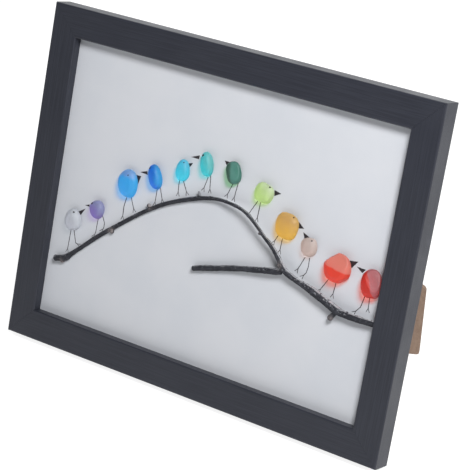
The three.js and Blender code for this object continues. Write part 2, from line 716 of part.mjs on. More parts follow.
const archStations = [
  [-0.471, 0.206, 1.46, 1.54], [-0.438, 0.219, 1.38, 1.62], [-0.422, 0.239, 1.15, 1.15],
  [-0.399, 0.267, 1.08, 1], [-0.342, 0.337, 1, 1.04], [-0.284, 0.399, 1, 1.04], [-0.228, 0.457, 1, 0.96],
  [-0.171, 0.508, 1.08, 1.04], [-0.113, 0.546, 1.15, 1], [-0.054, 0.576, 1.23, 1.12],
  [-0.017, 0.589, 1.77, 0.96], [0.012, 0.595, 2.46, 0.85], [0.046, 0.595, 3.31, 0.88],
  [0.08, 0.59, 4, 0.96], [0.111, 0.574, 4.38, 1], [0.142, 0.545, 4.46, 0.96], [0.165, 0.52, 4.38, 0.92],
  [0.18, 0.507, 4.23, 1.08], [0.197, 0.485, 3.77, 1.12], [0.211, 0.463, 3.46, 1.15],
  [0.228, 0.434, 3.08, 1.54], [0.253, 0.418, 2.85, 1.46], [0.277, 0.409, 2.77, 1.54],
  [0.308, 0.398, 2.77, 1.69], [0.338, 0.384, 2.69, 1.85], [0.37, 0.368, 2.69, 1.92],
  [0.397, 0.356, 2.69, 1.85], [0.426, 0.353, 2.69, 1.65], [0.457, 0.352, 2.69, 1.5],
  [0.484, 0.353, 2.62, 1.42], [0.52, 0.353, 2.54, 1.38],
];
const sideStations = [
  [-0.038, 0.334, 1.38, 1.27], [-0.004, 0.348, 1.46, 1.35], [0.029, 0.36, 1.54, 1.31],
  [0.064, 0.374, 1.77, 1.35], [0.1, 0.387, 2.08, 1.31], [0.136, 0.398, 2.38, 1.35],
  [0.165, 0.407, 2.62, 1.46], [0.2, 0.417, 2.85, 1.54], [0.223, 0.422, 2.85, 1.15],
];
const stubs = [
  [[-0.053, 0.58, 1.38, 0.69], [-0.055, 0.592, 1.77, 0.62], [-0.057, 0.6, 1.92, 0.46]],
  [[0.172, 0.511, 4.08, 0.85], [0.154, 0.527, 3.85, 0.77], [0.144, 0.529, 3.69, 0.85]],
  [[0.396, 0.36, 2.77, 1.15], [0.386, 0.343, 2.54, 1.08], [0.378, 0.33, 2.38, 1.15]],
];
const buds = [
  [-0.201, 0.498, 1.38, 0.92], [-0.303, 0.366, 1.23, 1.08], [-0.447, 0.204, 1.15, 1.15],
  [0.377, 0.327, 2.31, 1.38], [0.217, 0.444, 3.23, 1.46],
];

function twigGeometry() {
  const whole = join([
    limb(archStations, ARCH_STEPS),
    limb(sideStations, SIDE_BRANCH_STEPS),
    ...stubs.map((stations) => limb(stations, STUB_STEPS)),
    ...buds.map(bud),
  ]);
  // The twig is flattened where it is glued down, and it ends at the rail
  const room = boxBetween(
    [-OPENING_WIDTH / 2 + TOUCH_GAP, -2 * FRAME_DEPTH, RAIL_FACE + TOUCH_GAP],
    [OPENING_WIDTH / 2 - TOUCH_GAP, ART_FRONT - TOUCH_GAP, OUTER_HEIGHT - RAIL_FACE - TOUCH_GAP],
  );
  return toGeometry(toSolid(whole).intersect(toSolid(room)));
}
standing.add(named("twig", twigGeometry(), darkBark));

// The object's own origin is the middle of its footprint, on the table
const part = new THREE.Group();
part.add(standing);
part.updateMatrixWorld(true);
const extent = new THREE.Box3().setFromObject(part, true);
const middle = extent.getCenter(new THREE.Vector3());
part.position.set(-middle.x, -middle.y, -extent.min.z);

export default part;
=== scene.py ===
# %% [markdown]
# # Sea glass birds in a standing frame
# This lesson dresses a set of plain solids as a small framed picture. A row of sea glass pebbles sits
# over a forked twig, each with inked legs, beak and eye, and the frame leans back on an easel leg.
# The solids give every size and place, so each step makes the fine surface of one kind of piece.

import json
import math

import bmesh
import bpy
import numpy as np
from mathutils import Matrix, Vector, noise
from mathutils.bvhtree import BVHTree
from mathutils.kdtree import KDTree


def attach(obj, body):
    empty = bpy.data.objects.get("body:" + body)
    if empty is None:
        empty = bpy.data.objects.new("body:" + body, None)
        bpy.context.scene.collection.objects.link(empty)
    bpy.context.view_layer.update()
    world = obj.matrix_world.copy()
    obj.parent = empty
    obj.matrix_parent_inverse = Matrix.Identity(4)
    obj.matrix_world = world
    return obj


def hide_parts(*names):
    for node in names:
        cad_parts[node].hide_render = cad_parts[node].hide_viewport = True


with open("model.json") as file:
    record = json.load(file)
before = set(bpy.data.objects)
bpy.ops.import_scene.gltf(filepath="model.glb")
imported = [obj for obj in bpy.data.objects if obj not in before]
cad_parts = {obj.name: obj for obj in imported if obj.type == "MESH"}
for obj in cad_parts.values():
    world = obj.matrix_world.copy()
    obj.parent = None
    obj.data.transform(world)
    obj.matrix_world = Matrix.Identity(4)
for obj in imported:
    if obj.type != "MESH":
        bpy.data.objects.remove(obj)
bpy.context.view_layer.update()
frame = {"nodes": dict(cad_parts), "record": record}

# %% [markdown]
# ## The picture's own directions
# The frame leans back, but a picture framer thinks across, up and into the picture. Two flat faces of
# the frame are recorded with their outward directions: its back and its underside. They give the
# three directions, and from here on every point is written in millimetres as (across, back, up) from
# the middle of the bottom back edge.

# %% Panel coordinates
mounts = {mount["name"]: mount for mount in frame["record"]["mounts"]}
ACROSS = Vector((1, 0, 0))
BACKWARDS = Vector(mounts["back_face"]["axis"])
UPWARDS = -Vector(mounts["underside"]["axis"])
corner = BACKWARDS * BACKWARDS.dot(Vector(mounts["back_face"]["pos_m"]))
corner += UPWARDS * UPWARDS.dot(Vector(mounts["underside"]["pos_m"]))
MM = 0.001
TURN = Matrix((ACROSS, BACKWARDS, UPWARDS)).transposed().to_4x4()
PANEL = Matrix.Translation(corner) @ TURN @ Matrix.Scale(MM, 4)
TO_PANEL = PANEL.inverted()


def mesh_points(mesh, matrix=TO_PANEL):
    """The corners of a mesh as an array of millimetres."""
    flat = np.empty(3 * len(mesh.vertices))
    mesh.vertices.foreach_get("co", flat)
    return flat.reshape(-1, 3) @ np.array(matrix.to_3x3()).T + np.array(matrix.translation)


def panel_box(node):
    """Lowest and highest corner of a solid in millimetres along the picture's directions."""
    points = mesh_points(frame["nodes"][node].data)
    return points.min(axis=0), points.max(axis=0)


CARD_FRONT = panel_box("art_board")[0][1]
print("the card's face lies", round(-CARD_FRONT, 2), "mm in front of the frame's back")


# %% [markdown]
# ## Making and finishing a piece
# Most pieces end in the same way: the mesh is given a smooth surface with its sharp edges kept and the
# body that it moves with, and its solids are hidden. One function does that, so that no piece can miss a
# step. A weighted normal modifier keeps large flats flat where they meet a narrow rounded edge.

# %% Two helpers for pieces
SHARP_ANGLE = math.radians(35)
FLAT_WEIGHT = 100


def add_piece(name, mesh, body, solids=(), flats=True):
    """A finished piece from a mesh in the solids' own space."""
    piece = bpy.data.objects.new(name, mesh)
    bpy.context.scene.collection.objects.link(piece)
    mesh.polygons.foreach_set("use_smooth", [True] * len(mesh.polygons))
    if flats:
        mesh.set_sharp_from_angle(angle=SHARP_ANGLE)
        weights = piece.modifiers.new("flat faces", "WEIGHTED_NORMAL")
        weights.weight = FLAT_WEIGHT
        weights.keep_sharp = True
    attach(piece, body)
    if solids:
        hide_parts(*solids)
    return piece


def panel_mesh(name, points, faces):
    """A mesh from points in the picture's millimetres."""
    mesh = bpy.data.meshes.new(name)
    mesh.from_pydata([PANEL @ Vector(point) for point in points], [], faces)
    mesh.validate()
    mesh.update()
    return mesh


# %% [markdown]
# ## The four rails
# A frame maker runs a rebated strip of wood past a cutter, rounds its front edges, cuts it at 45
# degrees, glues it and paints it. Here each rail is its section, swept from mitre to mitre. Every
# point of the section stops at its own distance from the end, which makes the mitre, and a hairline is
# left where two rails meet. The long edges get their true radius, because a rounded edge is what
# catches the light on dark paint.

# %% Section and sweep of a rail
RAIL_FACE = panel_box("frame_rail_bottom")[1][2]
FRAME_DEPTH = -panel_box("frame_rail_bottom")[0][1]
FRAME_HALF = panel_box("frame_rail_right")[1][0]
FRAME_HEIGHT = panel_box("frame_rail_top")[1][2]
CARD_PLAY = 0.5
CARD_GAP = 0.3
REBATE_EDGE = panel_box("art_board")[0][2] - CARD_PLAY
REBATE_FRONT = CARD_FRONT - CARD_GAP
MITRE_HAIRLINE = 0.05
RAIL_STATIONS = 25


def rounded(corners, steps=5):
    """Section points with each corner (x, y, radius) rounded by a short arc."""
    outline = []
    for i, (x, y, radius) in enumerate(corners):
        here = Vector((x, y))
        before = (Vector(corners[i - 1][:2]) - here).normalized()
        after = (Vector(corners[(i + 1) % len(corners)][:2]) - here).normalized()
        if not radius:
            outline.append(tuple(here))
            continue
        centre = here + radius * (before + after)
        for k in range(steps + 1):
            turn = 0.5 * math.pi * k / steps
            outline.append(tuple(centre - radius * (after * math.cos(turn) + before * math.sin(turn))))
    return outline


RAIL_SECTION = rounded([
    (0, 0, 0.4),
    (0, -FRAME_DEPTH, 0.9),
    (RAIL_FACE, -FRAME_DEPTH, 0.8),
    (RAIL_FACE, REBATE_FRONT, 0.25),
    (REBATE_EDGE, REBATE_FRONT, 0),
    (REBATE_EDGE, 0, 0.3),
])
RAIL_SIDES = {
    "bottom": ((1, 0), (0, 1), (0, 0), FRAME_HALF),
    "top": ((-1, 0), (0, -1), (0, FRAME_HEIGHT), FRAME_HALF),
    "left": ((0, -1), (1, 0), (-FRAME_HALF, FRAME_HEIGHT / 2), FRAME_HEIGHT / 2),
    "right": ((0, 1), (-1, 0), (FRAME_HALF, FRAME_HEIGHT / 2), FRAME_HEIGHT / 2),
}


def rail_mesh(side):
    """One rail, with a map in millimetres: along the rail and round its section."""
    along, inward, middle, half = (np.array(value, float) for value in RAIL_SIDES[side])
    count = len(RAIL_SECTION)
    around = [0.0]
    for (x0, y0), (x1, y1) in zip(RAIL_SECTION, RAIL_SECTION[1:] + RAIL_SECTION[:1]):
        around.append(around[-1] + math.hypot(x1 - x0, y1 - y0))
    points, runs = [], []
    for share in np.linspace(-1, 1, RAIL_STATIONS):
        for inset, back in RAIL_SECTION:
            run = share * (half - inset - MITRE_HAIRLINE)
            across, up = middle + along * run + inward * inset
            points.append((across, back, up))
            runs.append(run)
    faces, ways = [], []
    for station in range(RAIL_STATIONS - 1):
        for i in range(count):
            j = (i + 1) % count
            near, far = station * count, (station + 1) * count
            faces.append((near + i, near + j, far + j, far + i))
            ways += [around[i], around[i + 1], around[i + 1], around[i]]
    for station in (0, RAIL_STATIONS - 1):
        ring = [station * count + i for i in range(count)]
        faces.append(ring if station else ring[::-1])
        ways += around[:-1] if station else around[:-1][::-1]
    mesh = panel_mesh(f"rail_{side}", points, faces)
    run_map = mesh.uv_layers.new(name="run")
    for loop in mesh.loops:
        run_map.data[loop.index].uv = (runs[loop.vertex_index], ways[loop.index])
    return mesh


rails = [
    add_piece(f"rail_{side}", rail_mesh(side), "frame", [f"frame_rail_{side}"])
    for side in RAIL_SIDES
]
print("4 rails of", len(RAIL_SECTION), "points round the section")


# %% [markdown]
# ## From a solid to a worn surface
# Tumbled glass and bark have no flat facets and no sharp edges. The quickest way there is to lay an
# even net of small faces over a copy of the solid with a voxel remesh, let a few rounds of smoothing
# melt its facets, and then push every point in or out by a little noise. The net is fine enough to
# carry the noise, and the place and size of the piece stay those of the solid.

# %% Even net over a solid
def net_over(node, cell, rounds):
    """A copy of a solid as an even net of cells, smoothed by that many rounds."""
    source = frame["nodes"][node]
    copy = bpy.data.objects.new("net", source.data.copy())
    bpy.context.scene.collection.objects.link(copy)
    remesh = copy.modifiers.new("net", "REMESH")
    remesh.mode = "VOXEL"
    remesh.voxel_size = cell * MM
    smooth = copy.modifiers.new("melt", "SMOOTH")
    smooth.factor = 0.5
    smooth.iterations = rounds
    graph = bpy.context.evaluated_depsgraph_get()
    mesh = bpy.data.meshes.new_from_object(copy.evaluated_get(graph))
    bpy.data.objects.remove(copy)
    mesh.materials.clear()
    return mesh


def push(mesh, amounts):
    """Moves each point along its normal by so many millimetres."""
    normals = np.empty(3 * len(mesh.vertices))
    mesh.vertices.foreach_get("normal", normals)
    points = mesh_points(mesh, Matrix.Identity(4))
    points += normals.reshape(-1, 3) * (np.asarray(amounts)[:, None] * MM)
    mesh.vertices.foreach_set("co", points.ravel())
    mesh.update()


def rumple(points, size, seed):
    """Smooth noise between about -1 and 1 with lumps of a size in millimetres."""
    start = Vector((seed, -seed, 7.3))
    return np.array([noise.noise(Vector(point) / size + start) for point in points])


# %% [markdown]
# ## Sea glass
# The sea tumbles a shard until its edges are round and its skin is pitted, with a few broad flats
# left where the shard broke. The net keeps those flats and softens their edges. Shallow dents and pits
# are modelled, and the fine frosting is left to the finish. Each pebble also gets a map from -1 to 1
# across its face and a value that rises from its rim to its crown, which its finish uses to shade the
# thin rim and the thick middle.

# %% Pebbles
GLASS = ["clear", "lilac", "sky_blue", "cobalt", "aqua", "turquoise", "bottle_green", "lime", "amber",
         "blush", "coral", "red"]
PEBBLE_CELL = 0.25
DENT_SIZE, DENT_DEPTH = 3.5, 0.12
PIT_SIZE, PIT_DEPTH, PIT_SEED = 1.1, 0.04, 20
pebbles = {}
pebble_trees = {}
for seed, name in enumerate(GLASS):
    mesh = net_over(f"sea_glass_{name}", PEBBLE_CELL, 5)
    points = mesh_points(mesh)
    dents = DENT_DEPTH * rumple(points, DENT_SIZE, seed)
    push(mesh, dents + PIT_DEPTH * rumple(points, PIT_SIZE, seed + PIT_SEED))
    points = mesh_points(mesh)
    low, high = points.min(axis=0), points.max(axis=0)
    face = 2 * (points - (low + high) / 2) / (high - low)
    face_map = mesh.uv_layers.new(name="face")
    for loop in mesh.loops:
        face_map.data[loop.index].uv = face[loop.vertex_index][[0, 2]]
    crown = mesh.attributes.new("crown", "FLOAT", "POINT")
    crown.data.foreach_set("value", (high[1] - points[:, 1]) / (high[1] - low[1]))
    pebbles[name] = add_piece(f"pebble_{name}", mesh, "frame", [f"sea_glass_{name}"],
                              flats=False)
    faces = [polygon.vertices[:] for polygon in mesh.polygons]
    pebble_trees[name] = BVHTree.FromPolygons([Vector(point) for point in points], faces)
print(len(pebbles), "pebbles,", sum(len(pebble.data.polygons) for pebble in pebbles.values()), "faces")


# %% [markdown]
# ## The twig
# A dry twig has bark that is wrinkled along its length, ringed by old bud scars and peeled in places.
# To follow its length, the finish and the relief need to know where each point lies along the twig
# and round it. A few stations along the middle of each branch are joined by a smooth curve, and each
# point takes its distance along and its angle round from the nearest place on that curve. A station is
# written as its shares across and up the picture and its height over the card in millimetres.

# %% Middle lines of the branches
OPENING = 2 * (FRAME_HALF - RAIL_FACE)
PICTURE_RATIO = 0.7357
PICTURE_LOW = (FRAME_HEIGHT - PICTURE_RATIO * OPENING) / 2
BRANCHES = [
    [(-0.471, 0.206, 1.9), (-0.438, 0.219, 1.8), (-0.422, 0.239, 1.5), (-0.399, 0.267, 1.4),
     (-0.342, 0.337, 1.3), (-0.284, 0.399, 1.3), (-0.228, 0.457, 1.3), (-0.171, 0.508, 1.4),
     (-0.113, 0.546, 1.5), (-0.054, 0.576, 1.6), (-0.017, 0.589, 2.3), (0.012, 0.595, 3.2),
     (0.046, 0.595, 4.3), (0.08, 0.59, 5.2), (0.111, 0.574, 5.7), (0.142, 0.545, 5.8), (0.165, 0.52, 5.7),
     (0.18, 0.507, 5.5), (0.197, 0.485, 4.9), (0.211, 0.463, 4.5), (0.228, 0.434, 4), (0.253, 0.418, 3.7),
     (0.277, 0.409, 3.6), (0.308, 0.398, 3.6), (0.338, 0.384, 3.5), (0.37, 0.368, 3.5),
     (0.397, 0.356, 3.5), (0.426, 0.353, 3.5), (0.457, 0.352, 3.5), (0.484, 0.353, 3.4),
     (0.52, 0.353, 3.3)],
    [(-0.038, 0.334, 1.8), (-0.004, 0.348, 1.9), (0.029, 0.36, 2), (0.064, 0.374, 2.3), (0.1, 0.387, 2.7),
     (0.136, 0.398, 3.1), (0.165, 0.407, 3.4), (0.2, 0.417, 3.7), (0.223, 0.422, 3.7)],
]


def on_picture(across, up, height):
    """A point over the card from its shares across and up the picture."""
    return Vector((across * OPENING, CARD_FRONT - height, PICTURE_LOW + up * PICTURE_RATIO * OPENING))


def middle_line(stations, step=0.4):
    """Points every few tenths of a millimetre along a smooth curve, with the distance along it."""
    knots = [on_picture(*station) for station in stations]
    knots = [2 * knots[0] - knots[1], *knots, 2 * knots[-1] - knots[-2]]
    line = []
    for p0, p1, p2, p3 in zip(knots, knots[1:], knots[2:], knots[3:]):
        parts = max(2, int((p2 - p1).length / step))
        for k in range(parts):
            t = k / parts
            line.append(0.5 * (2 * p1 + (p2 - p0) * t + (2 * p0 - 5 * p1 + 4 * p2 - p3) * t**2
                               + (3 * p1 - p0 - 3 * p2 + p3) * t**3))
    lengths = np.cumsum([0.0] + [(b - a).length for a, b in zip(line, line[1:])])
    return line, lengths


BRANCH_APART = 400
spine = []
for branch, stations in enumerate(BRANCHES):
    line, lengths = middle_line(stations)
    for i, point in enumerate(line[:-1]):
        spine.append((point, (line[i + 1] - point).normalized(), lengths[i] + BRANCH_APART * branch))
spine_tree = KDTree(len(spine))
for i, (point, _, _) in enumerate(spine):
    spine_tree.insert(point, i)
spine_tree.balance()
print(len(spine), "places along the two branches")

# %% [markdown]
# The relief of the bark is the sum of three things: wrinkles that are long along the twig and narrow
# round it, rings where buds and leaves once sat, and a fine roughness. The wrinkles come from noise
# that is read on a stretched tube, so they follow the curve of the branch.

# %% Bark relief
WRINKLE_LENGTH, WRINKLE_TURN, WRINKLE_DEPTH = 5.0, 1.6, 0.11
RING_EVERY, RING_WIDTH, RING_DEPTH = 11.0, 0.45, 0.16
TOOTH_SIZE, TOOTH_DEPTH = 0.45, 0.08


def bark_relief(mesh):
    """Relief of each point in millimetres, and how far along and round the twig it lies."""
    points = mesh_points(mesh)
    relief = np.empty(len(points))
    runs = np.empty((len(points), 2), np.float32)
    for i, row in enumerate(points):
        point = Vector(row)
        _, nearest, reach = spine_tree.find(point)
        middle, forward, run = spine[nearest]
        offset = point - middle
        run += offset.dot(forward)
        side = forward.cross(Vector((0, 1, 0))).normalized()
        angle = math.atan2(offset.dot(side), -offset.y)
        tube = Vector((run / WRINKLE_LENGTH, WRINKLE_TURN * math.cos(angle), WRINKLE_TURN * math.sin(angle)))
        wrinkles = noise.noise(tube * 1.3) + 0.6 * noise.noise(tube * 2.9 + Vector((9, 4, 2)))
        place = run / RING_EVERY + 0.35 * noise.noise(Vector((run / 7, 3.1, 0.4)))
        ring = math.exp(-((place - round(place)) * RING_EVERY / RING_WIDTH) ** 2)
        tooth = noise.noise(point / TOOTH_SIZE)
        relief[i] = WRINKLE_DEPTH * wrinkles + RING_DEPTH * ring + TOOTH_DEPTH * tooth
        runs[i] = run, angle
    return relief, runs


# %% [markdown]
# The finish needs to know the relief too, for the painted shade in the bottoms of the wrinkles, so it
# is kept as a value from 0 to 1 at each point. A second value marks the pale scars, which fade out
# within a few millimetres of the places listed here.

# %% Twig
SCARS = [(-0.447, 0.204, 1.5), (0.377, 0.327, 3), (0.217, 0.444, 4.2), (-0.303, 0.366, 1.6),
         (0.144, 0.529, 4.8), (-0.201, 0.498, 1.8)]
SCAR_REACH = 2.0
TWIG_CELL = 0.23
RELIEF_SPAN = 0.2
twig_mesh = net_over("twig", TWIG_CELL, 4)
relief, runs = bark_relief(twig_mesh)
push(twig_mesh, relief)
tube_map = twig_mesh.uv_layers.new(name="tube")
for loop in twig_mesh.loops:
    tube_map.data[loop.index].uv = runs[loop.vertex_index]
points = mesh_points(twig_mesh)
reach = np.min([np.linalg.norm(points - np.array(on_picture(*place)), axis=1) for place in SCARS], axis=0)
marks = {"relief": (relief / RELIEF_SPAN + 0.5).clip(0, 1), "scar": np.exp(-(reach / SCAR_REACH) ** 2)}
for name, values in marks.items():
    mark = twig_mesh.attributes.new(name, "FLOAT", "POINT")
    mark.data.foreach_set("value", values)
add_piece("bark_twig", twig_mesh, "frame", ["twig"], flats=False)
print("twig of", len(twig_mesh.polygons), "faces, relief up to", round(float(relief.max()), 2), "mm")


# %% [markdown]
# ## Ink strokes
# The legs and beaks are drawn on the card with a fine marker, and the eyes are dots on the glass. Ink
# has no thickness that the eye can see, but as real strokes a few hundredths of a millimetre thick
# they stay crisp from any distance and need no painted image. A stroke is a ribbon that follows a
# line, with a course and a width that waver as a hand does, and it is closed below and at its ends.

# %% Ribbon and blot
INK = 0.04
PEN = 0.23
STROKE_STEP = 0.6
HAND_WOBBLE = 0.09
PRESSURE = 0.3


def ribbon(points, faces, line, width, wobble):
    """Adds a flat stroke on the card along a line of (across, up) places."""
    path = []
    for (x0, y0), (x1, y1) in zip(line, line[1:]):
        parts = max(2, int(math.hypot(x1 - x0, y1 - y0) / STROKE_STEP))
        path += [(x0 + (x1 - x0) * k / parts, y0 + (y1 - y0) * k / parts) for k in range(parts)]
    path = [Vector(place) for place in [*path, line[-1]]]
    start = len(points)
    for i, place in enumerate(path):
        ahead = (path[min(i + 1, len(path) - 1)] - path[max(i - 1, 0)]).normalized()
        side = Vector((-ahead.y, ahead.x))
        place = place + side * HAND_WOBBLE * noise.noise(Vector((place.x, place.y, wobble)))
        half = width * (1 + PRESSURE * noise.noise(Vector((place.x * 2, place.y * 2, wobble + 5))))
        for reach in (-half, half):
            for lift in (0, -INK):
                points.append((place.x + side.x * reach, CARD_FRONT + lift, place.y + side.y * reach))
    for i in range(len(path) - 1):
        a, b = start + 4 * i, start + 4 * i + 4
        faces += [(a, a + 2, b + 2, b), (a + 1, b + 1, b + 3, a + 3)]
        faces += [(a, b, b + 1, a + 1), (a + 2, a + 3, b + 3, b + 2)]
    end = start + 4 * (len(path) - 1)
    faces += [(start, start + 1, start + 3, start + 2), (end, end + 2, end + 3, end + 1)]


def blot(points, faces, outline):
    """Adds a filled flat shape on the card with that outline of (across, up) places."""
    start, count = len(points), len(outline)
    points += [(x, CARD_FRONT, y) for x, y in outline] + [(x, CARD_FRONT - INK, y) for x, y in outline]
    faces.append(tuple(start + i for i in range(count)))
    faces.append(tuple(start + count + i for i in reversed(range(count))))
    faces += [(start + i, start + count + i, start + count + (i + 1) % count, start + (i + 1) % count)
              for i in range(count)]


# %% [markdown]
# Each bird stands in its own way, so its strokes are placed one by one, as on the card. Places are
# millimetres across and up the picture, and an eye has a radius as well.

# %% Strokes of the twelve birds
BIRDS = {
    "clear": dict(legs=[[(-99.8, 70.2), (-100.2, 59.0)], [(-97.0, 70.4), (-95.0, 64.8), (-92.8, 64.3)]],
                  beak=[(-96.1, 83.8), (-95.1, 81.1), (-91.8, 86.6)], eye=(-96.4, 83.8, 0.6)),
    "lilac": dict(legs=[[(-81.3, 82.7), (-81.6, 74.8), (-82.5, 72.8)],
                        [(-77.9, 85.0), (-76.2, 81.9), (-76.3, 79.1), (-77.3, 77.4)]],
                  beak=[(-89.3, 89.9), (-89.1, 88.7), (-92.2, 88.8)], eye=(-84.4, 92.4, 0.75)),
    "sky_blue": dict(legs=[[(-63.6, 99.6), (-64.3, 95.6), (-64.1, 89.0)], [(-60.2, 102.0), (-57.0, 95.4)]],
                     beak=[(-59.3, 115.5), (-57.2, 110.2), (-55.8, 115.7)], eye=(-61, 115.5, 0.4)),
    "cobalt": dict(legs=[[(-43.0, 110.8), (-43.1, 102.9)], [(-40.8, 112.1), (-38.3, 105.9)]],
                   beak=[(-52.0, 119.8), (-51.4, 117.9), (-56.5, 118.1)], eye=(-47.5, 123.2, 0.7)),
    "aqua": dict(legs=[[(-28.8, 119.0), (-28.3, 112.7)], [(-25.4, 119.6), (-22.5, 114.6)]],
                 beak=[(-24.5, 131.3), (-23.5, 129.2), (-21.8, 132.2)], eye=(-25.1, 132, 0.4)),
    "turquoise": dict(legs=[[(-10.2, 125.5), (-11.6, 119.8)], [(-8.2, 127.4), (-7.3, 119.9)]],
                      beak=[(-18.1, 137.6), (-18.1, 135.5), (-23.2, 135.5)], eye=(-13, 139.3, 0.75)),
    "bottle_green": dict(legs=[[(6.8, 126.3), (4.6, 120.3)], [(10.4, 127.2), (9.5, 119.6)]],
                         beak=[(0.9, 137.0), (2.8, 138.9), (-0.6, 139.0)], eye=None),
    "lime": dict(legs=[[(25.0, 121.7), (20.8, 113.7)], [(27.2, 121.4), (26.8, 112.3)]],
                 beak=[(34.9, 131.0), (35.3, 128.0), (39.1, 130.1)], eye=(33.4, 132.6, 0.6)),
    "amber": dict(legs=[[(43.4, 109.4), (40.2, 102.7)], [(45.3, 108.4), (44.9, 98.7)]],
                  beak=[(52.6, 118.4), (54.0, 114.4), (57.4, 115.2)], eye=(52.1, 120.3, 0.55)),
    "blush": dict(legs=[[(61.0, 98.4), (58.1, 91.6)],
                        [(64.5, 98.7), (64.6, 95.1), (64.0, 91.6), (62.2, 89.2)]],
                  beak=[(59.2, 109.7), (61.7, 111.4), (57.8, 112.9)], eye=(65.9, 110.8, 0.5)),
    "coral": dict(legs=[[(78.3, 91.7), (74.3, 84.6)], [(83.5, 91.4), (82.8, 84.2)]],
                  beak=[(89.5, 105.7), (91.3, 102.3), (94.3, 106.4)], eye=None),
    "red": dict(legs=[[(102.1, 87.9), (101.0, 82.7), (98.1, 79.2)], [(105.5, 88.9), (105.8, 82.8)]],
                beak=[(98.1, 101.4), (99.9, 103.5), (94.5, 103.7)], eye=None),
}
print("strokes for", len(BIRDS), "birds")

# %% [markdown]
# A leg is a line from under the pebble to the twig. It stops a little short, and two thin toes open from
# there like an upside down V. A beak is a triangle from two points at the glass to its tip, filled, with
# an uneven edge.

# %% Drawing the legs and beaks
TUCKED = 1.6
TOE = 2.6
TOE_SPREAD = math.radians(24)
ANKLE_SHARE = 0.3
TOE_PEN = 0.75 * PEN
BEAK_PARTS = 6
BEAK_GROWTH = 0.12
BEAK_ROUGHNESS, BEAK_JAGS = 0.1, 2.1


def draw_leg(points, faces, leg, wobble):
    """Adds a leg that starts under the glass, with two toes at its end."""
    places = [Vector(place) for place in leg]
    under = places[0] + (places[0] - places[1]).normalized() * TUCKED
    down = (places[-1] - places[-2]).normalized()
    ankle = places[-1] - ANKLE_SHARE * TOE * down
    ribbon(points, faces, [under, *places[:-1], ankle], PEN, wobble)
    for side in (-1, 1):
        toe = ankle + TOE * (Matrix.Rotation(side * TOE_SPREAD, 2) @ down)
        ribbon(points, faces, [ankle, toe], TOE_PEN, wobble + side)


def beak_outline(corners, wobble):
    """The uneven outline of a beak, a little larger than its three corners."""
    middle_x, middle_y = (sum(values) / 3 for values in zip(*corners))
    outline = []
    for (ax, ay), (bx, by) in zip(corners, corners[1:] + corners[:1]):
        for k in range(BEAK_PARTS):
            x, y = ax + (bx - ax) * k / BEAK_PARTS, ay + (by - ay) * k / BEAK_PARTS
            rough = BEAK_ROUGHNESS * noise.noise(Vector((BEAK_JAGS * x, BEAK_JAGS * y, wobble)))
            outline.append((x + rough + BEAK_GROWTH * (x - middle_x),
                            y - rough + BEAK_GROWTH * (y - middle_y)))
    return outline


leg_points, leg_faces, beak_points, beak_faces = [], [], [], []
for wobble, bird in enumerate(BIRDS.values()):
    for leg in bird["legs"]:
        draw_leg(leg_points, leg_faces, leg, wobble)
    blot(beak_points, beak_faces, beak_outline(bird["beak"], wobble))
legs = add_piece("ink_legs", panel_mesh("ink_legs", leg_points, leg_faces), "frame")
beaks = add_piece("ink_beaks", panel_mesh("ink_beaks", beak_points, beak_faces), "frame")
print(len(leg_faces), "faces of legs and", len(beak_faces), "of beaks")


# %% [markdown]
# An eye is a drop of ink on a curved surface, and some eyes sit on the steep shoulder of their
# pebble. A small disc is laid flat against the glass at the eye's place, each of its points is moved to
# the nearest place on the glass, and a second layer just inside the glass closes the drop.

# %% Eyes
AHEAD = 20.0
DROP_UNEVEN = 0.08
DROP_EDGE = 0.2


def eye_on(name, across, up, radius, points, faces, rings=4, spokes=20):
    """Adds a dot of ink that hugs the pebble."""
    tree = pebble_trees[name]
    centre, facing = tree.ray_cast(Vector((across, -FRAME_DEPTH - AHEAD, up)), Vector((0, 1, 0)))[:2]
    right = facing.cross(Vector((0, 0, 1))).normalized()
    over = right.cross(facing)
    start = len(points)
    for layer in (INK, -INK):
        for ring in range(rings + 1):
            for spoke in range(spokes if ring else 1):
                turn = 2 * math.pi * spoke / spokes
                reach = radius * ring / rings * (1 + DROP_UNEVEN * math.sin(3 * turn + across))
                place = centre + reach * (math.cos(turn) * right + math.sin(turn) * over)
                on_glass, out = tree.find_nearest(place)[:2]
                rounding = 1 if ring < rings else DROP_EDGE
                points.append(tuple(on_glass + layer * rounding * out))
    size = 1 + rings * spokes
    for layer in (0, 1):
        base = start + layer * size
        for spoke in range(spokes):
            after = (spoke + 1) % spokes
            fan = (base, base + 1 + spoke, base + 1 + after)
            faces.append(fan[::-1] if layer else fan)
            for ring in range(rings - 1):
                a, b = base + 1 + ring * spokes, base + 1 + (ring + 1) * spokes
                quad = (a + spoke, b + spoke, b + after, a + after)
                faces.append(quad[::-1] if layer else quad)
    for spoke in range(spokes):
        a, b = start + 1 + (rings - 1) * spokes, start + size + 1 + (rings - 1) * spokes
        after = (spoke + 1) % spokes
        faces.append((a + spoke, b + spoke, b + after, a + after))


eye_points, eye_faces = [], []
for name, bird in BIRDS.items():
    if bird["eye"]:
        eye_on(name, *bird["eye"], eye_points, eye_faces)
eyes = add_piece("ink_eyes", panel_mesh("ink_eyes", eye_points, eye_faces), "frame", flats=False)
print(len(eye_points), "points of eyes")


# %% [markdown]
# ## Sheet steel and hardboard
# The hanger, the tabs, the hinge and the boards are cut from sheet. Their shape is already right in
# the solids, but a cut sheet never has a knife edge: shears and files leave a small rounding that
# shows as a thin bright line. A copy of each solid gets its flat faces back in one piece and a narrow
# bevel on every real edge.

# %% Softened copies
SAME_POINT = 1e-6
SAME_FLAT = math.radians(1)
REAL_EDGE = math.radians(30)


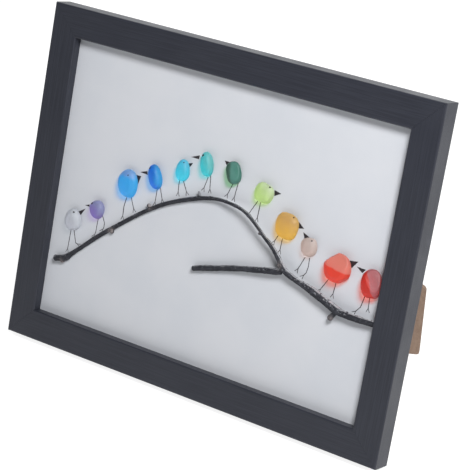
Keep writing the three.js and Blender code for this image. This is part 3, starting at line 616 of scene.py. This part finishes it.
def softened(name, node, body, radius, segments=2):
    """A copy of a solid with its edges rounded by a small radius."""
    mesh = frame["nodes"][node].data.copy()
    mesh.name = name
    mesh.materials.clear()
    work = bmesh.new()
    work.from_mesh(mesh)
    bmesh.ops.remove_doubles(work, verts=work.verts, dist=SAME_POINT)
    bmesh.ops.dissolve_limit(work, angle_limit=SAME_FLAT, verts=work.verts, edges=work.edges)
    work.to_mesh(mesh)
    work.free()
    if "custom_normal" in mesh.attributes:
        mesh.attributes.remove(mesh.attributes["custom_normal"])
    piece = add_piece(name, mesh, body, [node], flats=False)
    mesh.set_sharp_from_angle(angle=math.pi)
    bevel = piece.modifiers.new("edges", "BEVEL")
    bevel.width = radius * MM
    bevel.segments = segments
    bevel.limit_method = "ANGLE"
    bevel.angle_limit = REAL_EDGE
    bevel.harden_normals = True
    return piece


steel = []
for side in RAIL_SIDES:
    for place in (1, 2):
        tab = f"{side}_{place}"
        steel.append(softened(f"tab_{tab}", f"retaining_tab_{tab}", "frame", 0.12))
steel.append(softened("sawtooth_hanger", "wall_hanger", "frame", 0.14))
steel.append(softened("hinge_base", "hinge_bracket_frame", "frame", 0.16))
steel.append(softened("hinge_leaf", "hinge_bracket_leg", "leg", 0.16))
boards = [
    softened("back_panel", "back_board", "frame", 0.25),
    softened("leg_board", "easel_leg", "leg", 0.35, 3),
]
print(len(steel), "pieces of sheet steel and", len(boards), "boards")

# %% [markdown]
# Rivets, nails and the pin are turned or headed from wire. They are round, so the even net is laid
# over them too, in small cells, and smoothing turns their sixteen sides into a true round.

# %% Rivets, nails and pin
ROUND_CELL = 0.14
for node in ("frame_rivet_1", "frame_rivet_2", "leg_rivet_1", "leg_rivet_2", "hanger_nail_1",
             "hanger_nail_2", "hinge_pin"):
    body = "leg" if node.startswith("leg") else "frame"
    mesh = net_over(node, ROUND_CELL, 4)
    steel.append(add_piece(f"{node}_round", mesh, body, [node], flats=False))
print(len(steel), "steel pieces in all")


# %% [markdown]
# ## Finishes from small parts
# A finish is built from shader nodes. Parts that several finishes share are node groups with named
# inputs and outputs, which keeps each finish short enough to read. The helpers make a node with its
# sockets filled in, the few kinds of node that come up often, a group, and a copy of it in a finish.

# %% Helpers for nodes
def srgb(code):
    """A colour as the eye reads it, from six hexadecimal digits to the shader's linear values."""
    values = [int(code[i:i + 2], 16) / 255 for i in (0, 2, 4)]
    return (*[v / 12.92 if v <= 0.04045 else ((v + 0.055) / 1.055) ** 2.4 for v in values], 1.0)


def add(tree, kind, sockets=None, **settings):
    """A node with its settings, and with each named socket filled by a value or a link."""
    made = tree.nodes.new(kind)
    for key, value in settings.items():
        setattr(made, key, value)
    for key, value in (sockets or {}).items():
        socket = made.inputs[key]
        if isinstance(value, bpy.types.NodeSocket):
            tree.links.new(value, socket)
        else:
            socket.default_value = value
    return made


def mix(tree, share, first, second):
    """The socket of a mix of two colours."""
    return add(tree, "ShaderNodeMix", {0: share, 6: first, 7: second}, data_type="RGBA").outputs[2]


def maths(tree, operation, first, second=0.0):
    """The socket of one sum."""
    return add(tree, "ShaderNodeMath", {0: first, 1: second}, operation=operation).outputs[0]


def times(tree, first, second):
    """The socket of a product."""
    return maths(tree, "MULTIPLY", first, second)


def ramp(tree, value, low, high):
    """The socket of a value spread from 0 at low to 1 at high, with soft ends."""
    made = add(tree, "ShaderNodeMapRange", {"Value": value, "From Min": low, "From Max": high},
               interpolation_type="SMOOTHSTEP")
    return made.outputs["Result"]


def between(tree, value, low, high):
    """The socket of a value from 0 to 1 spread evenly from low to high."""
    return add(tree, "ShaderNodeMapRange", {"Value": value, "To Min": low, "To Max": high}).outputs["Result"]


def group(name, inputs, outputs):
    """An empty node group with its input and output nodes. Inputs are (name, kind, value)."""
    tree = bpy.data.node_groups.new(name, "ShaderNodeTree")
    for label, kind, value in inputs:
        tree.interface.new_socket(name=label, in_out="INPUT", socket_type=kind).default_value = value
    for label, kind in outputs:
        tree.interface.new_socket(name=label, in_out="OUTPUT", socket_type=kind)
    return tree, tree.nodes.new("NodeGroupInput").outputs, tree.nodes.new("NodeGroupOutput").inputs


def use(tree, part, **values):
    """The outputs of a shared group placed in a tree with its own values."""
    sockets = {label.replace("_", " "): value for label, value in values.items()}
    return add(tree, "ShaderNodeGroup", sockets, node_tree=part).outputs


FLOAT, COLOUR, VECTOR = "NodeSocketFloat", "NodeSocketColor", "NodeSocketVector"

# %% [markdown]
# The first group is unevenness: no paint, card or steel has one flat tone. It reads noise at a broad
# and at a fine size and gives a factor for colour or roughness, and a height for bumps. Sizes are in
# millimetres, so that a value can be judged against a ruler.

# %% Group: unevenness
mottle, given, gives = group("mottle", [("Broad mm", FLOAT, 12.0), ("Fine mm", FLOAT, 0.6),
                                        ("Stretch", VECTOR, (1, 1, 1))],
                             [("Broad", FLOAT), ("Fine", FLOAT)])
where = add(mottle, "ShaderNodeTexCoord").outputs["Object"]
drawn = add(mottle, "ShaderNodeVectorMath", {0: where, 1: given["Stretch"]}, operation="MULTIPLY").outputs[0]
for label, size in (("Broad", given["Broad mm"]), ("Fine", given["Fine mm"])):
    scale = maths(mottle, "DIVIDE", 1000.0, size)
    made = add(mottle, "ShaderNodeTexNoise",
               {"Vector": drawn, "Scale": scale, "Detail": 3.0, "Roughness": 0.55})
    mottle.links.new(ramp(mottle, made.outputs[0], 0.3, 0.7), gives[label])
print("group mottle with", len(mottle.nodes), "nodes")

# %% [markdown]
# The second group is the grain that shows through paint on wood. It reads each rail's own map, with
# noise drawn out along the rail, so that the grain turns the corner at each mitre as it does on a
# real frame.

# %% Group: grain along a rail
grain, given, gives = group("grain", [("Length mm", FLOAT, 30.0), ("Width mm", FLOAT, 0.7)],
                            [("Streak", FLOAT), ("Pores", FLOAT)])
run = add(grain, "ShaderNodeUVMap", uv_map="run").outputs[0]
split = add(grain, "ShaderNodeSeparateXYZ", {0: run})
for label, factor in (("Streak", 1.0), ("Pores", 0.25)):
    length = times(grain, given["Length mm"], factor)
    width = times(grain, given["Width mm"], factor)
    along = maths(grain, "DIVIDE", split.outputs[0], length)
    round_it = maths(grain, "DIVIDE", split.outputs[1], width)
    spot = add(grain, "ShaderNodeCombineXYZ", {0: along, 1: round_it}).outputs[0]
    made = add(grain, "ShaderNodeTexNoise", {"Vector": spot, "Scale": 1.0, "Detail": 4.0})
    grain.links.new(ramp(grain, made.outputs[0], 0.35, 0.65), gives[label])
print("group grain with", len(grain.nodes), "nodes")

# %% [markdown]
# The third group finds worn edges. Cycles can measure how much a surface sticks out at a point, which
# it calls pointiness. A little noise breaks the line up, because hands and dust don't rub evenly.

# %% Group: rubbed edges
rubbed, given, gives = group("rubbed edges", [("Low", FLOAT, 0.52), ("High", FLOAT, 0.6)], [("Rub", FLOAT)])
sharpness = add(rubbed, "ShaderNodeNewGeometry").outputs["Pointiness"]
edge = ramp(rubbed, sharpness, given["Low"], given["High"])
patches = use(rubbed, mottle)["Broad"]
rubbed.links.new(times(rubbed, edge, patches), gives["Rub"])
print("group rubbed edges with", len(rubbed.nodes), "nodes")


# %% [markdown]
# ## Paint, card, board, steel and ink
# Each opaque finish is a Principled shader with a few of these groups. Paint on wood is dark and
# satin: it looks nearly black straight on and pale at a glancing angle, where it mirrors the white
# room. Its colour hardly varies, so the roughness and a shallow bump carry the interest.

# %% Starting a finish, and the charcoal paint
def finish(name, **sockets):
    """A material, its node tree and its Principled shader with plain values set."""
    material = bpy.data.materials.new(name)
    material.use_nodes = True
    tree = material.node_tree
    shader = tree.nodes["Principled BSDF"]
    for key, value in sockets.items():
        shader.inputs[key.replace("_", " ")].default_value = value
    return material, tree, shader


def join_up(tree, pairs):
    """Links each pair of sockets."""
    for source, target in pairs:
        tree.links.new(source, target)


def bump(tree, shader, height, distance, strength):
    """Feeds a height through a bump of so many millimetres into a shader."""
    made = add(tree, "ShaderNodeBump", {"Height": height, "Distance": distance * MM, "Strength": strength})
    tree.links.new(made.outputs[0], shader.inputs["Normal"])


paint, tree, shader = finish("charcoal paint", Specular_IOR_Level=0.32)
wood = use(tree, grain)
cloud = use(tree, mottle, Broad_mm=25.0, Fine_mm=0.8)
rub = use(tree, rubbed)["Rub"]
tone = mix(tree, times(tree, wood["Streak"], 0.7), srgb("282a32"), srgb("31333c"))
tone = mix(tree, times(tree, rub, 0.3), tone, srgb("5b5d66"))
rough = between(tree, cloud["Broad"], 0.36, 0.46)
heights = maths(tree, "ADD", times(tree, wood["Streak"], 0.7), times(tree, wood["Pores"], 0.3))
join_up(tree, [(tone, shader.inputs["Base Color"]), (rough, shader.inputs["Roughness"])])
bump(tree, shader, heights, 0.03, 0.5)
for rail in rails:
    rail.data.materials.append(paint)
print("charcoal paint with", len(tree.nodes), "nodes")

# %% [markdown]
# The card is mount board: off white, matte, with a very fine tooth and the faintest clouding.
# Hardboard is pressed wood fibre. Its colour is made of short dark and pale fibres, so fine stretched
# noise does the work, and a low bump gives its leathery skin.

# %% Card and hardboard
card, tree, shader = finish("mount card", Roughness=0.85, Specular_IOR_Level=0.25)
cloud = use(tree, mottle, Broad_mm=40.0, Fine_mm=0.35)
tone = mix(tree, cloud["Broad"], srgb("bfc2c8"), srgb("c4c6cb"))
join_up(tree, [(tone, shader.inputs["Base Color"])])
bump(tree, shader, cloud["Fine"], 0.02, 0.4)
frame["nodes"]["art_board"].data.materials.clear()
frame["nodes"]["art_board"].data.materials.append(card)

fibre, tree, shader = finish("hardboard", Specular_IOR_Level=0.3)
cloud = use(tree, mottle, Broad_mm=14.0, Fine_mm=0.5)
fleck = use(tree, mottle, Broad_mm=1.6, Fine_mm=0.3, Stretch=(1.0, 1.0, 0.45))
tone = mix(tree, cloud["Broad"], srgb("7c6759"), srgb("877263"))
tone = mix(tree, times(tree, fleck["Broad"], 0.35), tone, srgb("5f4a3d"))
tone = mix(tree, times(tree, fleck["Fine"], 0.3), tone, srgb("9b8776"))
rough = between(tree, fleck["Broad"], 0.62, 0.8)
join_up(tree, [(tone, shader.inputs["Base Color"]), (rough, shader.inputs["Roughness"])])
bump(tree, shader, fleck["Fine"], 0.06, 0.6)
for board in boards:
    board.data.materials.append(fibre)
print("card and hardboard")

# %% [markdown]
# Zinc plate is a dull silver that has clouded with age, a little yellow where the plating was
# passivated, and brighter on its rubbed edges. Marker ink is almost black and soaks into the card, so
# it is rough rather than glossy, and it thins to a dark grey in places.

# %% Zinc steel and ink
zinc, tree, shader = finish("zinc steel", Metallic=1.0)
cloud = use(tree, mottle, Broad_mm=3.5, Fine_mm=0.4)
rub = use(tree, rubbed)["Rub"]
tone = mix(tree, cloud["Broad"], srgb("a9abac"), srgb("c2c3c0"))
tone = mix(tree, rub, tone, srgb("dcdddd"))
rough = between(tree, cloud["Broad"], 0.3, 0.48)
join_up(tree, [(tone, shader.inputs["Base Color"]), (rough, shader.inputs["Roughness"])])
bump(tree, shader, cloud["Fine"], 0.01, 0.5)
for piece in steel:
    piece.data.materials.append(zinc)

ink, tree, shader = finish("marker ink", Specular_IOR_Level=0.3)
cloud = use(tree, mottle, Broad_mm=1.5, Fine_mm=0.25)
tone = mix(tree, cloud["Fine"], srgb("1f1c21"), srgb("383236"))
rough = between(tree, cloud["Broad"], 0.55, 0.75)
join_up(tree, [(tone, shader.inputs["Base Color"]), (rough, shader.inputs["Roughness"])])
for piece in (legs, beaks, eyes):
    piece.data.materials.append(ink)
print("zinc steel and ink")

# %% [markdown]
# ## Bark
# The twig is a cool dark grey, with silvery flecks where the outer skin has peeled. The map along and
# round the twig draws the flecks out lengthwise. They gather on the upper side, which faces the lamp,
# with a broken pale crusting along its top: this is partly real bark and partly a painted highlight on
# the lit top edge, and it leaves the underside darker as painted shade. The flecks are brightest on the
# old wood past the fork. The relief attribute darkens the bottoms of the wrinkles as painted shade in
# the creases, and the scar attribute makes the bud scars pale.

# %% Bark finish
bark, tree, shader = finish("bark", Specular_IOR_Level=0.25, Roughness=0.82)
tube = add(tree, "ShaderNodeSeparateXYZ", {0: add(tree, "ShaderNodeUVMap", uv_map="tube").outputs[0]})
upward = maths(tree, "SINE", tube.outputs[1])
spot = add(tree, "ShaderNodeCombineXYZ", {0: times(tree, tube.outputs[0], 0.35),
                                          1: maths(tree, "COSINE", tube.outputs[1]), 2: upward}).outputs[0]
flecks = add(tree, "ShaderNodeTexNoise", {"Vector": spot, "Scale": 1.9, "Detail": 5.0, "Roughness": 0.65})
fleck = flecks.outputs[0]
skin = add(tree, "ShaderNodeTexNoise", {"Vector": spot, "Scale": 0.5, "Detail": 2.0}).outputs[0]
relief_for_crease_shade = add(tree, "ShaderNodeAttribute", attribute_name="relief").outputs["Fac"]
place = add(tree, "ShaderNodeSeparateXYZ", {0: add(tree, "ShaderNodeTexCoord").outputs["Object"]}).outputs[0]
old_wood = maths(tree, "ADD", 0.6, times(tree, ramp(tree, place, 0.03, 0.055), 0.4))
tone = mix(tree, ramp(tree, skin, 0.35, 0.65), srgb("2b2c32"), srgb("43444b"))
# Painted shade: the bottoms of the wrinkles are darkened towards a near black.
tone = mix(tree, times(tree, ramp(tree, relief_for_crease_shade, 0.1, 0.9), 0.6), srgb("222329"), tone)
# Painted highlight: the flecks and the pale crusting are weighted towards the top edge, which faces the lamp,
# over the real flecks of peeled bark.
silver_flecks_and_top_light = times(tree, ramp(tree, fleck, 0.54, 0.66), ramp(tree, upward, -0.4, 0.9))
crust_and_top_highlight = times(tree, ramp(tree, fleck, 0.38, 0.5), ramp(tree, upward, 0.72, 0.92))
peel_and_top_highlight = times(tree, maths(tree, "MAXIMUM", silver_flecks_and_top_light, crust_and_top_highlight), old_wood)
tone = mix(tree, times(tree, peel_and_top_highlight, 0.9), tone, srgb("a2a4a9"))
scar = add(tree, "ShaderNodeAttribute", attribute_name="scar").outputs["Fac"]
scar = times(tree, scar, ramp(tree, fleck, 0.35, 0.6))
tone = mix(tree, times(tree, scar, 0.8), tone, srgb("9d9391"))
join_up(tree, [(tone, shader.inputs["Base Color"])])
bump(tree, shader, fleck, 0.08, 0.5)
twig_mesh.materials.append(bark)
print("bark with", len(tree.nodes), "nodes")

# %% [markdown]
# ## Frosted glass
# Sea glass glows, because light enters through its frosted skin, scatters, and leaves in the colour of
# the glass. Here the skin is a rough refracting surface with some plain body colour under it. The
# group below mixes the deep tone and the pale tone across the face of the pebble, in a direction and
# with a soft edge that each pebble sets for itself. Every pebble turns its pale tone towards the upper
# right, where the lamp is, so the pale side is partly the glass's own uneven colour and partly a painted
# sheen. It adds a rim tone on the thin edge, painted strongest on the side away from the lamp as a
# painted glow where the light gathers before it leaves the glass, and the pitted bump of the frosting.

# %% Group: tones of a pebble
tones, given, gives = group("sea glass tones",
                            [("Deep", COLOUR, srgb("204080")), ("Pale", COLOUR, srgb("80a0e0")),
                             ("Rim", COLOUR, srgb("204080")), ("Across", FLOAT, 0.5), ("Up", FLOAT, 0.5),
                             ("Edge", FLOAT, 0.0), ("Softness", FLOAT, 0.5), ("Rim share", FLOAT, 0.3),
                             ("Cloud", FLOAT, 0.3)],
                            [("Colour", COLOUR), ("Frost", FLOAT), ("Height", FLOAT)])
face = add(tones, "ShaderNodeSeparateXYZ", {0: add(tones, "ShaderNodeUVMap", uv_map="face").outputs[0]})
across, up = face.outputs[0], face.outputs[1]
slope = maths(tones, "ADD", times(tones, across, given["Across"]), times(tones, up, given["Up"]))
cloud = use(tones, mottle, Broad_mm=5.0, Fine_mm=0.45)
patchy = times(tones, maths(tones, "SUBTRACT", cloud["Broad"], 0.5), given["Cloud"])
slope = maths(tones, "ADD", slope, patchy)
low = maths(tones, "SUBTRACT", given["Edge"], given["Softness"])
high = maths(tones, "ADD", given["Edge"], given["Softness"])
# Painted sheen: the pale tone lies on the side that faces the lamp, over the glass's own uneven tone.
pale = ramp(tones, slope, low, high)
body = mix(tones, pale, given["Deep"], given["Pale"])
crown = add(tones, "ShaderNodeAttribute", attribute_name="crown").outputs["Fac"]
thin = maths(tones, "SUBTRACT", 1.0, ramp(tones, crown, 0.1, 0.85))
rim = times(tones, thin, given["Rim share"])
# Painted glow: the rim tone is strongest on the side away from the lamp, where light leaves the glass.
LAMP_RIGHT, LAMP_UP = 0.65, 0.75
away = maths(tones, "SUBTRACT", times(tones, across, -LAMP_RIGHT), times(tones, up, LAMP_UP))
painted_glow_side = ramp(tones, away, -0.5, 0.8)
rim = times(tones, rim, maths(tones, "ADD", 0.4, times(tones, painted_glow_side, 0.6)))
tones.links.new(mix(tones, rim, body, given["Rim"]), gives["Colour"])
tones.links.new(cloud["Broad"], gives["Frost"])
tones.links.new(cloud["Fine"], gives["Height"])
print("group sea glass tones with", len(tones.nodes), "nodes")

# %% [markdown]
# Coloured glass throws a coloured shadow. Following light through rough glass is slow and noisy, so
# the material does it directly: for shadow rays it is a clear tint, and for everything else it is the
# frosted glass. The light passes the tint twice, once into the pebble and once out of it, so the tint
# is the square root of the glow that should reach the card.

# %% The twelve glass finishes
# Each pebble's up and across turn its pale tone, partly a painted sheen, towards the lamp at the upper right.
LOOKS = {
    "clear": dict(deep="babcc4", pale="c0c4c9", rim="b5b9c1", glow="c4c8ca",
                  through=0.4, rim_share=0.2),
    "lilac": dict(deep="8b7ab5", pale="9ca4c0", rim="7d78b1", glow="c2a6d8",
                  up=0.8, across=0.5, edge=0.1, softness=0.5, through=0.6, rim_share=0.5),
    "sky_blue": dict(deep="46afdb", pale="8fabd0", rim="42badd", glow="18a0ee",
                     up=1.0, across=0.0, edge=0.5, softness=0.25, through=0.55, rim_share=0.6),
    "cobalt": dict(deep="2774c2", pale="41a6cf", rim="2ca6da", glow="14acf6",
                   up=0.5, across=0.85, edge=0.3, softness=0.4, through=0.55, rim_share=0.5),
    "aqua": dict(deep="52c5d5", pale="71bbd4", rim="56d5d9", glow="40cfe6",
                 up=0.9, across=0.1, edge=0.4, softness=0.5, through=0.6, rim_share=0.5),
    "turquoise": dict(deep="48bec6", pale="80bcbb", rim="5ecbca", glow="48d4d4",
                      up=0.7, across=0.6, edge=0.2, softness=0.5, through=0.6, rim_share=0.5),
    "bottle_green": dict(deep="3a5b50", pale="548d84", rim="2a3f38", glow="2fb23f",
                         up=0.34, across=0.94, edge=-0.1, softness=0.15, through=0.45, rim_share=0.85,
                         cloud=0.1),
    "lime": dict(deep="c3d39e", pale="cbd3bd", rim="b7d182", glow="b4da62",
                 up=0.6, across=0.4, through=0.6, rim_share=0.4),
    "amber": dict(deep="d9b94f", pale="c4a66e", rim="dfc84f", glow="ecb43c",
                  up=0.8, across=0.2, edge=-0.1, softness=0.7, through=0.55, rim_share=0.5),
    "blush": dict(deep="bdaea8", pale="c3b8b3", rim="c0b2ad", glow="dcc0b4",
                  up=0.5, across=0.5, through=0.5),
    "coral": dict(deep="d44731", pale="d28c7f", rim="bf3826", glow="ee5c1c",
                  up=0.98, across=0.17, edge=0.0, softness=0.06, through=0.5, rim_share=0.4, cloud=0.06),
    "red": dict(deep="be3125", pale="a5676e", rim="b02d25", glow="f4521e",
                up=0.54, across=0.84, edge=0.1, softness=0.06, through=0.5, rim_share=0.4, cloud=0.06),
}


def glass_finish(name, deep, pale, rim, glow, through, up=0.5, across=0.5, edge=0.2, softness=0.5,
                 rim_share=0.3, cloud=0.3):
    """The frosted glass of one pebble, with its tinted shadow."""
    material, tree, shader = finish(f"sea glass {name}", Transmission_Weight=through, IOR=1.45,
                                    Specular_IOR_Level=0.4)
    shade = use(tree, tones, Deep=srgb(deep), Pale=srgb(pale), Rim=srgb(rim), Up=up, Across=across, Edge=edge,
                Softness=softness, Rim_share=rim_share, Cloud=cloud)
    rough = between(tree, shade["Frost"], 0.42, 0.55)
    join_up(tree, [(shade["Colour"], shader.inputs["Base Color"]), (rough, shader.inputs["Roughness"])])
    bump(tree, shader, shade["Height"], 0.03, 0.5)
    tint = tuple(math.sqrt(value) for value in srgb(glow))
    clear = add(tree, "ShaderNodeBsdfTransparent", {"Color": tint}).outputs[0]
    shadow_ray = add(tree, "ShaderNodeLightPath").outputs["Is Shadow Ray"]
    both = add(tree, "ShaderNodeMixShader", {0: shadow_ray, 1: shader.outputs[0], 2: clear}).outputs[0]
    tree.links.new(both, tree.nodes["Material Output"].inputs["Surface"])
    return material


for name, look in LOOKS.items():
    pebbles[name].data.materials.append(glass_finish(name, **look))
print(len(LOOKS), "glass finishes")

# %% [markdown]
# ## Floor, light and camera
# The picture stands on a white table. A large plain plane is the table, and its own light keeps it at
# paper white, as an overexposed studio sweep is.

# %% Floor
floor_mesh = bpy.data.meshes.new("floor")
FLOOR_HALF = 6.0
floor_corners = [(x * FLOOR_HALF, y * FLOOR_HALF, 0) for x, y in ((-1, -1), (1, -1), (1, 1), (-1, 1))]
floor_mesh.from_pydata(floor_corners, [], [(0, 1, 2, 3)])
floor = bpy.data.objects.new("floor", floor_mesh)
bpy.context.scene.collection.objects.link(floor)
white, tree, shader = finish("white table", Base_Color=(0.3, 0.3, 0.3, 1), Roughness=0.7,
                             Specular_IOR_Level=0.2, Emission_Color=(1, 1, 1, 1), Emission_Strength=0.88)
floor_mesh.materials.append(white)
print("table of", 2 * FLOOR_HALF, "m")

# %% [markdown]
# The room is bright behind the frame, which gives the glare on the frame's top, and dim in front of it.
# One soft lamp to the upper right does the rest: it gives the pebbles and the twig their shadows to the
# lower left, and a card that is brighter on the right.

# %% World and lamp
world = bpy.data.worlds.new("white room")
bpy.context.scene.world = world
world.use_nodes = True
tree = world.node_tree
room = tree.nodes["Background"]
room.inputs["Color"].default_value = (0.96, 0.98, 1.0, 1)
facing = add(tree, "ShaderNodeSeparateXYZ", {0: add(tree, "ShaderNodeTexCoord").outputs["Generated"]})
bright = add(tree, "ShaderNodeMapRange", {"Value": facing.outputs[1], "From Min": -0.1, "From Max": 0.4,
                                          "To Min": 0.08, "To Max": 1.1}).outputs["Result"]
join_up(tree, [(bright, room.inputs["Strength"])])
lamp_light = bpy.data.lights.new("window", "AREA")
lamp_light.shape = "DISK"
lamp_light.size = 0.32
lamp_light.energy = 11.3
lamp = bpy.data.objects.new("window", lamp_light)
bpy.context.scene.collection.objects.link(lamp)
TO_LAMP = Vector((0.53, -0.4, 0.73)).normalized()
LAMP_DISTANCE = 1.0
lamp.location = PANEL @ Vector((0, 0, FRAME_HEIGHT / 2)) + LAMP_DISTANCE * TO_LAMP
lamp.rotation_euler = TO_LAMP.to_track_quat("Z", "Y").to_euler()
bpy.context.scene.view_settings.view_transform = "Standard"
print("lamp at", [round(value, 2) for value in lamp.location])

# %% [markdown]
# The camera's place, direction and lens were worked out from the straight edges of the frame in the
# photograph, as a surveyor would: where they meet, how fast they shrink, and how steep they are.

# %% Camera
camera_data = bpy.data.cameras.new("camera")
camera_data.sensor_width = 36.0
camera_data.lens = 145.96
camera = bpy.data.objects.new("camera", camera_data)
bpy.context.scene.collection.objects.link(camera)
FROM_CORNER = Vector((0.5668, -0.7554, 0.5846))
AIM = Vector((-0.516, 0.726, -0.455))
camera.location = corner + FROM_CORNER
camera.rotation_euler = AIM.to_track_quat("-Z", "Y").to_euler()
bpy.context.scene.camera = camera
print("camera", [round(value, 3) for value in camera.location])
